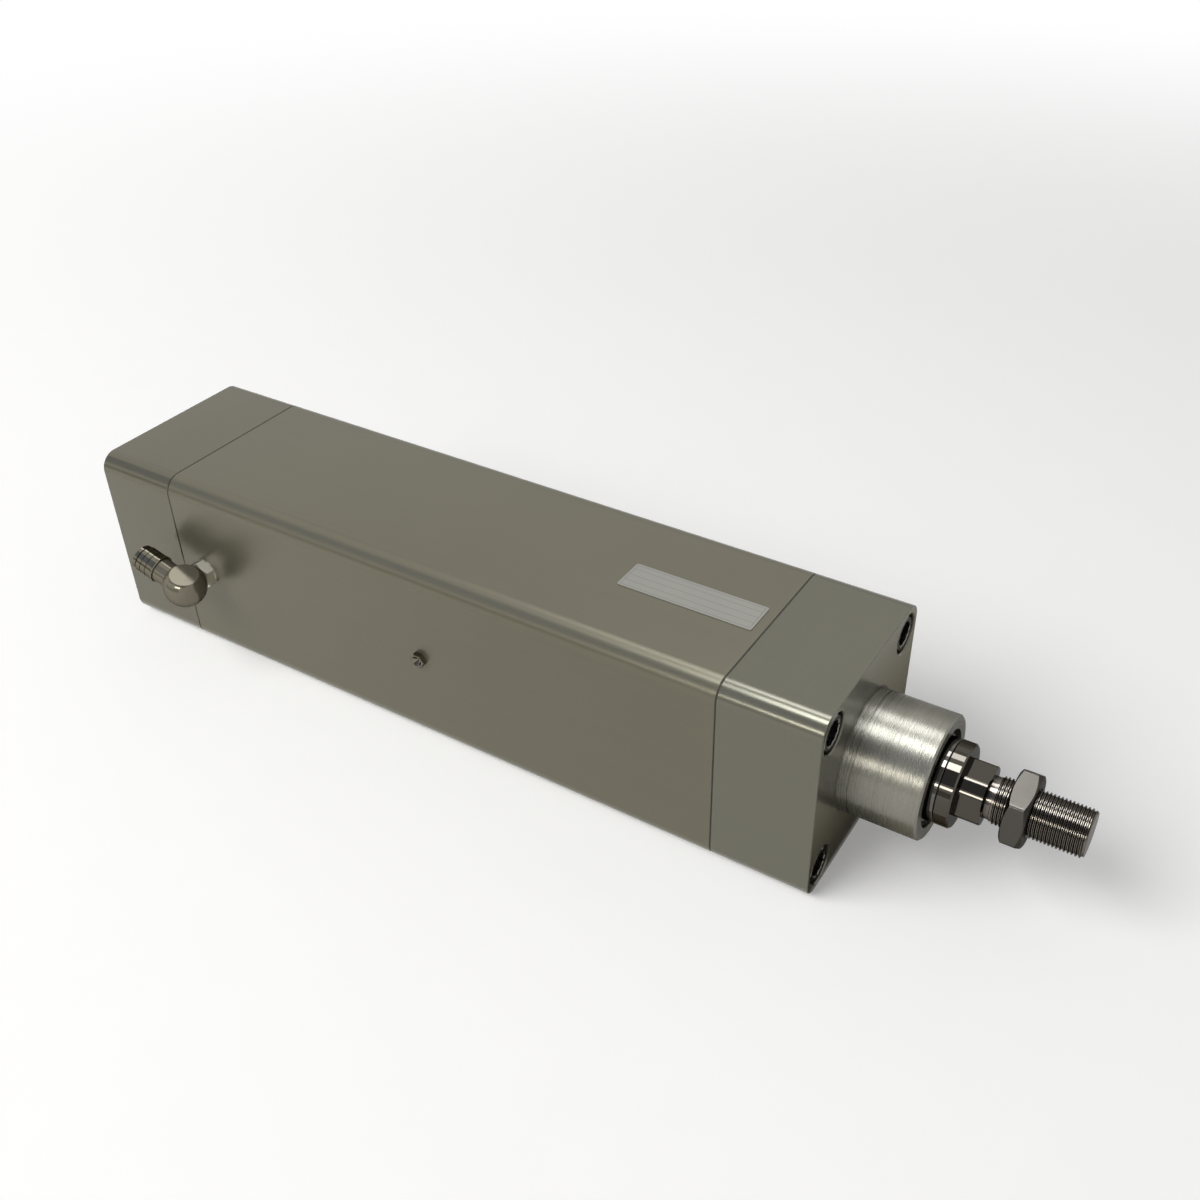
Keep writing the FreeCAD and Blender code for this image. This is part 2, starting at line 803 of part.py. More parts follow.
def fitting_stem():
    """Screw-in stem: thread, hexagon and the post that the elbow swivels on."""
    post = turned([
        (-fitting_thread_length, fitting_bore_radius),
        (outlet_height, fitting_bore_radius),
        (outlet_height, 0),
        (post_end, 0),
        (post_end, swivel_post_radius),
        (outlet_height + feed_groove_width / 2, swivel_post_radius),
        (outlet_height + feed_groove_width / 2, swivel_post_radius - feed_groove_depth),
        (outlet_height - feed_groove_width / 2, swivel_post_radius - feed_groove_depth),
        (outlet_height - feed_groove_width / 2, swivel_post_radius),
        (washer_thickness, swivel_post_radius),
        (washer_thickness, fitting_thread_radius),
        (-fitting_thread_length, fitting_thread_radius),
    ])
    hexagon = chamfered_hex(washer_thickness, hex_top, fitting_across_flats, fitting_hex_turn, False)
    hexagon = hexagon.cut(bar(0, hex_top + overshoot, fitting_bore_radius))
    feed_radius = feed_groove_width / 2
    across = Part.makeCylinder(feed_radius, 2 * swivel_post_radius,
                               Vector(outlet_height, -swivel_post_radius, 0), Vector(0, 1, 0))
    stem = post.fuse(hexagon).cut([across, ring_groove(swivel_ring_height), ring_groove(clip_height)])
    return placed(stem, stem_frame)


def wire_ring(height):
    """Round wire ring lying in one of the swivel's grooves."""
    wire = Part.makeTorus(swivel_post_radius, swivel_ring_radius, Vector(height, 0, 0), Vector(1, 0, 0))
    return placed(wire, stem_frame)


def swivel_oring():
    return wire_ring(swivel_ring_height)


def swivel_clip():
    return wire_ring(clip_height)


def elbow():
    """Elbow: forged ball head with two spanner flats on a draft, neck and stub towards the outlet."""
    back = head_back - outlet_height
    reach = head_radius + overshoot
    head = Part.makeSphere(head_radius, Vector(0, 0, 0), Vector(0, 1, 0))
    head = head.common(block(-reach, reach, back, reach, -reach, reach))
    above = block(-reach, reach, -reach, reach, head_flat_height, head_flat_height + reach)
    above = above.rotated(Vector(0, 0, 0), Vector(1, 0, 0), -head_flat_draft)
    below = above.mirror(Vector(0, 0, 0), Vector(0, 0, 1))
    head = head.cut([above, below])
    neck = bar(0, neck_length, neck_radius).fuse(bar(0, neck_length + stub_length, stub_radius))
    body = head.fuse(neck)
    bore_end = post_end + swivel_post_end_gap - outlet_height
    post_bore = Part.makeCylinder(post_bore_radius, bore_end - back + overshoot,
                                  Vector(0, back - overshoot, 0), Vector(0, 1, 0))
    grooves = [Part.makeTorus(swivel_post_radius, swivel_ring_radius + running_clearance,
                              Vector(0, height - outlet_height, 0), Vector(0, 1, 0))
               for height in (swivel_ring_height, clip_height)]
    outlet_bore = bar(0, neck_length + stub_length + overshoot, outlet_bore_radius)
    return placed(body.cut([post_bore, outlet_bore] + grooves), outlet_frame)


def tube_collar():
    """Ringed collar screwed on the elbow's stub; holds the tube seal and the release sleeve."""
    end = neck_length + tube_collar_length
    rim_radius = tube_collar_radius + tube_collar_rim
    rim_end = neck_length + tube_collar_rim_width
    inner = stub_radius + thread_clearance
    collar = turned([
        (neck_length, inner),
        (end, inner),
        (end, tube_collar_radius - tube_collar_chamfer),
        (end - tube_collar_chamfer, tube_collar_radius),
        (rim_end + tube_collar_rim, tube_collar_radius),
        (rim_end, rim_radius),
        (neck_length + tube_collar_chamfer, rim_radius),
        (neck_length, rim_radius - tube_collar_chamfer),
    ])
    spacing = (end - rim_end) / (tube_collar_grooves + 1)
    places = [rim_end + spacing * (k + 1) for k in range(tube_collar_grooves)]
    grooves = [ring(x, x + tube_collar_groove_width, tube_collar_radius - tube_collar_groove_depth,
                    tube_collar_radius + overshoot) for x in places]
    return placed(collar.cut(grooves), outlet_frame)


def tube_seal():
    back = neck_length + stub_length
    outer = stub_radius + thread_clearance - seat_clearance
    return placed(ring(back, back + tube_seal_width, air_tube_radius, outer), outlet_frame)


def release_sleeve():
    """Push-to-release sleeve: presses into the collar to free the air tube."""
    mouth = neck_length + tube_collar_length
    flange_back = mouth + release_travel
    flange_end = flange_back + release_flange_length
    outer = stub_radius + thread_clearance - running_clearance
    return placed(turned([
        (flange_back - release_inner_length, air_tube_radius),
        (flange_end, air_tube_radius),
        (flange_end, release_flange_radius - tube_collar_chamfer),
        (flange_end - tube_collar_chamfer, release_flange_radius),
        (flange_back, release_flange_radius),
        (flange_back, outer),
        (flange_back - release_inner_length, outer),
    ]), outlet_frame)


def front_cap_screws():
    screw = facing_front(cap_screw(front_cap_length), -screw_head_recess)
    return Part.makeCompound([at(screw, y, z) for y, z in bolt_places])


def rear_cap_screws():
    screw = facing_back(cap_screw(rear_cap_front - rear_face), rear_face + screw_head_recess)
    return Part.makeCompound([at(screw, y, z) for y, z in bolt_places])


def front_gasket():
    return gasket(barrel_front, front_cap_back)


def rear_gasket():
    return gasket(rear_cap_front, barrel_back)


pieces = [
    barrel, front_cap, rear_cap, guide_sleeve, front_cap_screws, rear_cap_screws, front_gasket, rear_gasket,
    rod_guide_bush, rod_seal, rod_wiper, front_buffer, rear_buffer, bearing_outer_ring, bearing_retainer,
    shaft_seal, type_plate, grease_nipple, fitting_stem, fitting_washer,
    rod_tube, rod_end, lock_nut, nut_carrier, ball_nut, ball_nut_screws, guide_pads, carrier_guide_ring,
    ball_screw, bearing_inner_rings, bearing_lock_nut, screw_tip_bush, screw_tip_clip,
    bearing_balls,
    elbow, tube_collar, tube_seal, swivel_oring, swivel_clip,
    release_sleeve,
]

os.makedirs("parts", exist_ok=True)
for piece in pieces:
    shape = piece()
    shape.exportStep("parts/" + piece.__name__ + ".step")
    print(piece.__name__, len(shape.Solids), "solids", round(shape.Volume, 1), "mm3", shape.isValid())
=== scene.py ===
from math import atan2, ceil, cos, degrees, pi, radians, sin, sqrt, tan

import bmesh
import bpy
from mathutils import Matrix, Quaternion, Vector


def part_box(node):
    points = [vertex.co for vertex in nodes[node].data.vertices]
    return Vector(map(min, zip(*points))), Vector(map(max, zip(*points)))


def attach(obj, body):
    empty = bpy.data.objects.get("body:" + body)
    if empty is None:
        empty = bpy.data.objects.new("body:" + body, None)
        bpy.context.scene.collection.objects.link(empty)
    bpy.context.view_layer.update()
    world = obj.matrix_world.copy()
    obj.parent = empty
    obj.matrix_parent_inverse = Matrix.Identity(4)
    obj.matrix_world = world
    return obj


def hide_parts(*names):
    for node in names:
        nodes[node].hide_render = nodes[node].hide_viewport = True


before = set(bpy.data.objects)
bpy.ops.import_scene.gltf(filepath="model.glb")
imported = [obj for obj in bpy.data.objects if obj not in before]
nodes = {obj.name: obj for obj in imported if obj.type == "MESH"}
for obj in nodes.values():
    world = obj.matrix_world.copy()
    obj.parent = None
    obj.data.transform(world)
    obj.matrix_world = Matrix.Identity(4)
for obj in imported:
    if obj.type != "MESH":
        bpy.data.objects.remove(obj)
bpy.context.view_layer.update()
mm = 0.001

# Rod end and lock nut, in millimetres along the rod's axis from the front mounting face
tube_front = 37.2
collar_front = 43.5
shank_front = 54.0
thread_back = 56.5
thread_front = 94.3
plug_length = 24.0
plug_radius = 13.45
rod_radius = 18.0
shank_flat = 11.0
shank_turned = 12.4
undercut_radius = 8.9
thread_pitch = 1.5
thread_major = 10.0
thread_minor = 9.1
thread_tip_chamfer = 1.3
nut_across_flats = 30.0
nut_turn = 19.2
nut_corner_bevel = 0.25
nut_corner_spread = 1.3
nut_thread_clearance = 0.06
nut_washer_share = 0.95
nut_mouth = 0.4
nut_sides = 6
nut_step = 360 / nut_sides
nut_chamfer_angle = 30.0
rod_end_bevel = 0.35

# Cap screws: spline socket in the head, female thread below it
bolt_offset = 36.0
front_screw_face = -0.5
rear_screw_face = -390.5
screw_head_radius = 8.0
screw_head_length = 18.0
screw_shank_radius = 5.0
screw_chamfer = 0.8
front_screw_length = 63.0
rear_screw_length = 62.5
socket_points = 12
socket_root = 6.0
socket_tip = 5.25
socket_depth = 3.5
socket_bevel = 0.3
bolt_pitch = 1.5
bolt_minor = 4.25
bolt_major = 5.0
bolt_thread_depth = 15.0
drill_point_angle = 30.0

# Ball screw
screw_lead = 10.0
screw_radius = 12.5
ball_radius = 2.4
ball_track_depth = 1.3
plain_length = 18.0
journal_radius = 7.0
journal_chamfer = 1.0
bearing_nut_radius = 7.5
bearing_seat_radius = 8.5
tip_radius = 8.0
tip_groove_radius = 7.2
tip_chamfer = 0.5

# Threads: shares of the pitch that groove, flank and crest take, and the length in which a female one starts
groove_share = 0.18
flank_share = 0.34
crest_share = 0.14
female_start = 0.001

# Spun meshes: steps round the axis, lengths under which points are joined, and the bend of a sharp edge
rod_end_steps = 120
nut_steps = 96
cap_screw_steps = 96
ball_screw_steps = 64
ball_track_steps = 8
merge_length = 0.002
sliver_length = 0.001
sharp_angle = 30.0

# Camera, found from the body's edges in the photo
camera_place = Vector((0.13088, -0.39492, 0.37434))
camera_bearing = 121.85
camera_dip = 35.83
camera_roll = -0.62
camera_lens = 39.63
camera_sensor = 36.0
camera_shift = (-0.0222, -0.0082)
camera_clip = 0.01

# Places of a Mix node's colour sockets, which share their names with others
mix_factor = 0
mix_low = 6
mix_high = 7
mix_result = 2


class Socket:
    """A shader node's output, so that shader maths can be written as Python expressions."""

    def __init__(self, tree, out=None):
        self.tree = tree
        self.out = out

    def node(self, kind, settings=None, inputs=None, output=0):
        """Adds a node: its settings first, then the values or links of its sockets."""
        made = self.tree.nodes.new("ShaderNode" + kind)
        for name, value in (settings or {}).items():
            setattr(made, name, value)
        for key, value in (inputs or {}).items():
            if isinstance(value, Socket):
                self.tree.links.new(value.out, made.inputs[key])
            else:
                made.inputs[key].default_value = value
        return Socket(self.tree, made.outputs[output] if made.outputs else None)

    def math(self, operation, first, second=0.0):
        return self.node("Math", {"operation": operation}, {0: first, 1: second})

    def __add__(self, other):
        return self.math("ADD", self, other)

    def __radd__(self, other):
        return self.math("ADD", other, self)

    def __sub__(self, other):
        return self.math("SUBTRACT", self, other)

    def __rsub__(self, other):
        return self.math("SUBTRACT", other, self)

    def __mul__(self, other):
        return self.math("MULTIPLY", self, other)

    def __rmul__(self, other):
        return self.math("MULTIPLY", other, self)

    def __pow__(self, other):
        return self.math("POWER", self, other)

    def parts(self):
        """The three numbers of a vector."""
        return [self.node("SeparateXYZ", None, {0: self}, output=k) for k in range(3)]

    def stretched(self, x, y, z):
        """The vector with each of its numbers multiplied."""
        return self.node("VectorMath", {"operation": "MULTIPLY"}, {0: self, 1: (x, y, z)})

    def noise(self, scale, detail=2.0, rough=0.5):
        """Cloudy noise from 0 to 1 at this place."""
        return self.node("TexNoise", None, {
            "Vector": self, "Scale": scale, "Detail": detail, "Roughness": rough,
        })

    def blended(self, low, high):
        """A colour between two colours, by this value."""
        settings = {"data_type": "RGBA", "clamp_factor": True}
        sockets = {mix_factor: self, mix_low: low, mix_high: high}
        return self.node("Mix", settings, sockets, output=mix_result)

    def between(self, low, high):
        """0 below low, 1 above high and a smooth step between them."""
        sockets = {"Value": self, "From Min": low, "From Max": high}
        return self.node("MapRange", {"interpolation_type": "SMOOTHSTEP"}, sockets)

    def within(self, low, high, edge):
        """1 from low to high and 0 outside, with soft edges."""
        return self.between(low - edge, low + edge) - self.between(high - edge, high + edge)

    def bump(self, distance):
        """The normal of a surface with this height, in metres."""
        return self.node("Bump", None, {"Strength": 1.0, "Distance": distance, "Height": self})


def rgb(red, green, blue):
    return (red, green, blue, 1.0)


def shade(colour, factor):
    """The same colour, lighter or darker."""
    return rgb(*[channel * factor for channel in colour[:3]])


def new_finish(name):
    """An empty material, and the place on the piece as its first socket."""
    finish = bpy.data.materials.new(name)
    finish.use_nodes = True
    finish.node_tree.nodes.clear()
    return finish, Socket(finish.node_tree).node("TexCoord", output="Object")


def close_finish(finish, place, sockets):
    """Puts the surface shader on a material."""
    surface = place.node("BsdfPrincipled", None, sockets)
    place.node("OutputMaterial", None, {"Surface": surface})
    return finish


# Finishes: noise scales are per metre, depths in metres

edge_tint = rgb(0.35, 0.35, 0.35)
clear_gloss = 0.0
along_axis = (1.0, 0.002, 0.002)
round_share = 0.003
haze_scale = 30.0


def varied(tone, colour, darkest, lightest):
    """A colour that goes from a darker to a lighter shade with the tone."""
    return tone.blended(shade(colour, darkest), shade(colour, lightest))


def lathe_place(place):
    """Place on a turned piece: along the axis, out from it, and a little way round it."""
    x, y, z = place.parts()
    out = (y * y + z * z) ** 0.5
    return place.node("CombineXYZ", None, {"X": x, "Y": out, "Z": (y + z) * round_share})


def handling_marks(place):
    """Faint marks on bright metal, from 0 to 1."""
    mark_scale = 120.0
    return place.noise(mark_scale, 4.0, 0.7).between(0.45, 0.75)


def anodised(name, colour, roughness, metal, lay, grain):
    """Matt natural anodising over the fine lines of extruding or milling; lay is the lines' stretch."""
    cloud_scale = 9.0
    etch_scale = 5200.0
    line_depth = 0.00001
    rough_spread = 0.05
    finish, place = new_finish(name)
    cloud = place.noise(cloud_scale, 3.0)
    lines = place.stretched(*lay).noise(1.0, 3.0, 0.6)
    etched = place.noise(etch_scale)
    tone = (cloud * 0.6 + lines * 0.4).between(0.25, 0.75)
    height = lines * 0.5 + etched * grain
    return close_finish(finish, place, {
        "Base Color": varied(tone, colour, 0.96, 1.04),
        "Metallic": metal,
        "Roughness": roughness - rough_spread + cloud * rough_spread + etched * rough_spread,
        "Normal": height.bump(line_depth),
    })


def turned(name, colour, roughness, ring_spacing, depth, metal=1.0):
    """Turned metal: fine rings left by the tool, brighter and darker in places."""
    broad_share = 0.12
    patch_scale = 45.0
    finish, place = new_finish(name)
    ringed = lathe_place(place)
    rings = ringed.noise(1.0 / ring_spacing, 4.0, 0.7)
    broad = ringed.noise(broad_share / ring_spacing)
    patches = place.noise(patch_scale)
    grooves = place.stretched(*along_axis).noise(1.0 / ring_spacing, 4.0, 0.7)
    tone = (rings * 0.5 + broad * 0.3 + patches * 0.2).between(0.3, 0.7)
    return close_finish(finish, place, {
        "Base Color": varied(tone, colour, 0.9, 1.1),
        "Metallic": metal,
        "Roughness": roughness * (0.55 + 0.9 * rings),
        "Normal": grooves.bump(depth),
        "Specular Tint": edge_tint,
    })


def polished(name, colour, roughness, smear, metal=1.0):
    """Ground or plated bright metal with faint handling marks."""
    wave_scale = 400.0
    wave_depth = 0.000002
    finish, place = new_finish(name)
    return close_finish(finish, place, {
        "Base Color": varied(place.noise(haze_scale), colour, 0.93, 1.07),
        "Metallic": metal,
        "Roughness": roughness + handling_marks(place) * smear,
        "Normal": place.noise(wave_scale).bump(wave_depth),
        "Specular Tint": edge_tint,
        "Specular IOR Level": clear_gloss,
    })


def bright_rod_end(name, colour, thread_lightened_colour):
    """Bright turned steel that is duller along the thread, with painted light there: the thread's colour is
    lighter than the shank's.
    """
    groove_scale = 7000.0
    groove_depth = 0.0000008
    smear = 0.03
    shank_roughness = 0.05
    thread_roughness = 0.19
    finish, place = new_finish(name)
    along = place.parts()[0].between(shank_front * mm, thread_back * mm)
    duller = along * (thread_roughness - shank_roughness)
    # Painted light: the thread gets a lighter colour than the same steel of the shank.
    thread_lightened_now = varied(place.noise(haze_scale), thread_lightened_colour, 0.85, 1.15)
    return close_finish(finish, place, {
        "Base Color": along.blended(colour, thread_lightened_now),
        "Metallic": 1.0,
        "Roughness": shank_roughness + handling_marks(place) * smear + duller,
        "Normal": place.stretched(*along_axis).noise(groove_scale).bump(groove_depth),
        "Specular Tint": edge_tint,
    })


def rubber(name, colour):
    """Matt rubber with a faint bloom."""
    bloom_scale = 160.0
    skin_scale = 3000.0
    skin_depth = 0.00002
    finish, place = new_finish(name)
    bloom = place.noise(bloom_scale, 4.0, 0.6)
    return close_finish(finish, place, {
        "Base Color": varied(bloom, colour, 1.0, 1.9),
        "Roughness": 0.55 + bloom * 0.25,
        "Normal": place.noise(skin_scale).bump(skin_depth),
    })


def polymer(name, colour, roughness):
    """Moulded slide plastic with a fine skin."""
    flow_scale = 70.0
    skin_scale = 2500.0
    skin_depth = 0.00001
    finish, place = new_finish(name)
    flow = place.noise(flow_scale, 3.0)
    return close_finish(finish, place, {
        "Base Color": varied(flow, colour, 0.92, 1.06),
        "Roughness": roughness + flow * 0.1,
        "Normal": place.noise(skin_scale).bump(skin_depth),
    })


def ruled_lines(place):
    """1 on the type plate's thin frame and rules, 0 between them."""
    rim = 0.0011
    line = 0.00012
    rule_shares = (0.28, 0.52, 0.76)
    low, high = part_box("type_plate")
    x, y, _ = place.parts()

    def inside(inset):
        """1 within the plate's outline after it is moved in, 0 outside."""
        across = y.within(low.y + inset, high.y - inset, line)
        return x.within(low.x + inset, high.x - inset, line) * across

    field = inside(rim + 2 * line)
    lines = inside(rim) - field
    for share in rule_shares:
        level = low.y + (high.y - low.y) * share
        lines = lines + field * y.within(level - line, level + line, line)
    return lines


def plate_film(name, colour):
    """Satin film of the type plate, with a thin frame and ruled fields that are left empty."""
    cloud_scale = 60.0
    fibre_scale = 1800.0
    fibre_depth = 0.000008
    line_strength = 0.5
    line_shade = 0.25
    finish, place = new_finish(name)
    cloud = place.noise(cloud_scale, 3.0)
    fibre = place.noise(fibre_scale)
    film = varied(cloud * 0.7 + fibre * 0.3, colour, 0.94, 1.05)
    lines = ruled_lines(place) * line_strength
    return close_finish(finish, place, {
        "Base Color": lines.blended(film, shade(colour, line_shade)),
        "Metallic": 0.35,
        "Roughness": 0.42 + cloud * 0.08,
        "Normal": fibre.bump(fibre_depth),
    })


barrel_lay = (6.0, 900.0, 900.0)
cap_lay = (900.0, 25.0, 900.0)
barrel_finish = anodised("anodised_barrel", rgb(0.153, 0.144, 0.104), 0.30, 0.65, barrel_lay, 0.5)
# The front and rear caps carry the same anodising; their slightly different colours are painted light, set to
# how each cap is lit.
front_cap_finish = anodised("anodised_front_cap", rgb(0.151, 0.146, 0.112), 0.22, 0.60, cap_lay, 0.35)
rear_cap_finish = anodised("anodised_rear_cap", rgb(0.144, 0.134, 0.099), 0.20, 0.66, cap_lay, 0.35)
boss_finish = turned("turned_aluminium", rgb(0.252, 0.243, 0.208), 0.27, 0.0006, 0.00014, 0.75)
chrome_finish = polished("hard_chrome", rgb(0.125, 0.119, 0.108), 0.04, 0.04)
# The second colour is painted light: the thread's steel made lighter than the shank's.
rod_end_finish = bright_rod_end("turned_steel", rgb(0.085, 0.077, 0.066), rgb(0.150, 0.136, 0.118))
nut_finish = polished("satin_steel", rgb(0.088, 0.082, 0.073), 0.36, 0.08)
screw_finish = polished("plated_screw", rgb(0.200, 0.192, 0.180), 0.20, 0.10)
hardened_finish = turned("ground_steel", rgb(0.300, 0.295, 0.290), 0.18, 0.0002, 0.000002)
dark_steel_finish = polished("dark_plated_steel", rgb(0.110, 0.105, 0.090), 0.16, 0.08)
nickel_finish = polished("bright_nickel", rgb(0.186, 0.170, 0.130), 0.09, 0.06, 0.60)
collar_finish = polished("bright_collar", rgb(0.190, 0.173, 0.129), 0.05, 0.03)
nipple_finish = polished("plated_nipple", rgb(0.190, 0.175, 0.135), 0.10, 0.06)
# Painted light: the fitting's stem and washer get a much lighter copy of the elbow's nickel, so that the
# hexagon looks lit.
lightened_nickel_finish = polished("lightened_satin_nickel", rgb(0.740, 0.710, 0.620), 0.32, 0.10)
bronze_finish = turned("machined_bronze", rgb(0.420, 0.270, 0.110), 0.32, 0.0003, 0.000004)
slide_finish = polymer("slide_polymer", rgb(0.620, 0.590, 0.500), 0.45)
rubber_finish = rubber("black_rubber", rgb(0.012, 0.011, 0.010))
gasket_finish = rubber("dark_gasket", rgb(0.034, 0.032, 0.027))
wiper_finish = rubber("grey_wiper", rgb(0.080, 0.075, 0.064))
plate_finish = plate_film("plate_film", rgb(0.268, 0.264, 0.236))

node_finishes = {
    "barrel": barrel_finish, "front_cap": front_cap_finish, "rear_cap": rear_cap_finish,
    "guide_sleeve": boss_finish, "nut_carrier": boss_finish,
    "rod_tube": chrome_finish, "rod_end": rod_end_finish, "lock_nut": nut_finish,
    "front_cap_screws": screw_finish, "rear_cap_screws": screw_finish,
    "ball_screw": hardened_finish, "ball_nut": hardened_finish, "bearing_outer_ring": hardened_finish,
    "bearing_inner_rings": hardened_finish, "bearing_balls": hardened_finish,
    "bearing_retainer": dark_steel_finish, "bearing_lock_nut": dark_steel_finish,
    "ball_nut_screws": dark_steel_finish, "screw_tip_clip": dark_steel_finish,
    "swivel_clip": dark_steel_finish, "grease_nipple": nipple_finish,
    "fitting_stem": lightened_nickel_finish, "elbow": nickel_finish, "tube_collar": collar_finish,
    "release_sleeve": collar_finish,
    "rod_guide_bush": bronze_finish,
    "guide_pads": slide_finish, "carrier_guide_ring": slide_finish, "screw_tip_bush": slide_finish,
    "front_gasket": gasket_finish, "rear_gasket": gasket_finish, "rod_seal": rubber_finish,
    "rod_wiper": wiper_finish, "shaft_seal": rubber_finish, "front_buffer": rubber_finish,
    "rear_buffer": rubber_finish, "tube_seal": rubber_finish, "swivel_oring": rubber_finish,
    "fitting_washer": lightened_nickel_finish,
    "type_plate": plate_finish,
}


# Turned and threaded meshes

def evenly(count):
    """Angles round the axis in equal steps."""
    return [2 * pi * k / count for k in range(count)]


def spin(angles, outline, closed):
    """Mesh spun about X from an outline that may change with the angle.

    outline(angle) gives a run of (x, radius) points in millimetres, as many at every angle. The last
    angle is a full turn, where a thread has moved on by one pitch, and doubled points are then joined.
    """
    mesh = bmesh.new()
    columns = []
    for angle in angles + [angles[0] + 2 * pi]:
        ring = [(x * mm, r * mm * cos(angle), r * mm * sin(angle)) for x, r in outline(angle)]
        columns.append([mesh.verts.new(corner) for corner in ring])
    for one, two in zip(columns, columns[1:]):
        count = len(one)
        for k in range(count if closed else count - 1):
            nxt = (k + 1) % count
            mesh.faces.new((one[k], one[nxt], two[nxt], two[k]))
    bmesh.ops.remove_doubles(mesh, verts=mesh.verts, dist=merge_length * mm)
    bmesh.ops.dissolve_degenerate(mesh, edges=mesh.edges, dist=sliver_length * mm)
    bmesh.ops.recalc_face_normals(mesh, faces=mesh.faces)
    return mesh


def thread_run(angle, back, front, pitch, floor, ridge, lead_in):
    """Points of a 60 degree thread from back to front at one angle, with a bevel at both ends.

    floor is the radius of the grooves and ridge that of the crests; lead_in is each end's bevel length.
    """
    crest = groove_share + flank_share
    shape = [(0.0, floor), (groove_share, floor), (crest, ridge), (crest + crest_share, ridge)]
    turns = ceil((front - back) / pitch) + 2
    start = back - 2 * pitch + pitch * angle / (2 * pi)
    points = []
    for turn in range(turns + 1):
        for share, radius in shape:
            x = start + pitch * (turn + share)
            room = min((x - back) / lead_in, (front - x) / lead_in, 1.0)
            kept = min(max(room, 0.0), abs(radius - floor) / abs(ridge - floor))
            points.append((min(max(x, back), front), floor + (ridge - floor) * kept))
    return points


def add_piece(name, mesh, finish, body, replaced):
    """Links a mesh as a piece that rides on a body and stands for a CAD node."""
    data = bpy.data.meshes.new(name)
    mesh.to_mesh(data)
    mesh.free()
    for face in data.polygons:
        face.use_smooth = True
    data.set_sharp_from_angle(angle=radians(sharp_angle))
    piece = bpy.data.objects.new(name, data)
    bpy.context.scene.collection.objects.link(piece)
    data.materials.append(finish)
    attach(piece, body)
    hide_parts(replaced)
    return piece


def shank_radius(angle):
    """Square shank with turned corners."""
    return min(shank_turned, shank_flat / max(abs(cos(angle)), abs(sin(angle))))


def shank_angles(count):
    """Equal steps, with the corners of the four flats added."""
    half = degrees(atan2(sqrt(shank_turned ** 2 - shank_flat ** 2), shank_flat))
    corners = [radians((90 * side + sign * half) % 360) for side in range(4) for sign in (-1, 1)]
    return sorted(evenly(count) + corners)


def rod_end_outline(angle):
    """Rod end from the back of its plug to the tip of its thread."""
    shank = shank_radius(angle)
    edge = rod_end_bevel
    return [
        (tube_front - plug_length, 0),
        (tube_front - plug_length, plug_radius - edge),
        (tube_front - plug_length + edge, plug_radius),
        (tube_front, plug_radius),
        (tube_front, rod_radius - edge),
        (tube_front + edge, rod_radius),
        (collar_front - 2 * edge, rod_radius),
        (collar_front, rod_radius - 2 * edge),
        (collar_front, shank),
        (shank_front - edge, shank),
        (shank_front, shank - edge),
        (shank_front, undercut_radius + edge),
        (shank_front + edge, undercut_radius),
        (thread_back, undercut_radius),
    ] + thread_run(angle, thread_back, thread_front, thread_pitch, thread_minor, thread_major,
                   thread_tip_chamfer) + [
        (thread_front, thread_minor - edge),
        (thread_front, 0),
    ]


def hex_radius(angle):
    """Distance of the lock nut's flats from the axis."""
    sector = (degrees(angle) - nut_turn) % nut_step - nut_step / 2
    corner = nut_across_flats / 2 / cos(radians(nut_step / 2))
    return min(nut_across_flats / 2 / cos(radians(sector)), corner - nut_corner_bevel)


def nut_angles(count):
    """Equal steps, with both edges of the nut's bevelled corners added."""
    corners = [nut_turn + nut_step * side + turn * nut_corner_spread
               for side in range(nut_sides) for turn in (-1, 1)]
    return sorted(evenly(count) + [radians(corner % 360) for corner in corners])


def lock_nut_outline(angle):
    """Lock nut: female thread with wide mouths, and flats chamfered at both ends."""
    low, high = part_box("lock_nut")
    back = low.x / mm
    front = high.x / mm
    flat = hex_radius(angle)
    washer = nut_across_flats / 2 * nut_washer_share
    drop = (flat - washer) * tan(radians(nut_chamfer_angle))
    thread = thread_run(angle, back, front, thread_pitch, thread_minor + nut_thread_clearance,
                        thread_major + nut_thread_clearance, female_start)
    mouth = thread_major + nut_mouth
    run = [(x, max(r, mouth - (x - back), mouth - (front - x))) for x, r in thread]
    return run + [
        (front, mouth),
        (front, washer),
        (front - drop, flat),
        (back + drop, flat),
        (back, washer),
        (back, mouth),
    ]


def socket_radius(angle):
    """Twelve-point spline socket."""
    step = 2 * pi / socket_points
    share = abs((angle % step) / step - 0.5) * 2
    return socket_tip + (socket_root - socket_tip) * share


def cap_screw_outline(angle, length):
    """Cap screw facing +X with its face at 0, from the socket outwards."""
    point = socket_radius(angle)
    thread_top = -socket_depth
    thread_end = -bolt_thread_depth
    female = thread_run(angle, thread_end, thread_top, bolt_pitch, bolt_minor, bolt_major, female_start)
    return [
        (thread_end - bolt_minor * tan(radians(drill_point_angle)), 0),
        (thread_end, bolt_minor),
    ] + female + [
        (thread_top, point),
        (-socket_bevel, point),
        (0, point + socket_bevel),
        (0, screw_head_radius - screw_chamfer),
        (-screw_chamfer, screw_head_radius),
        (-screw_head_length, screw_head_radius),
        (-screw_head_length, screw_shank_radius),
        (-length + screw_chamfer, screw_shank_radius),
        (-length, screw_shank_radius - screw_chamfer),
        (-length, 0),
    ]


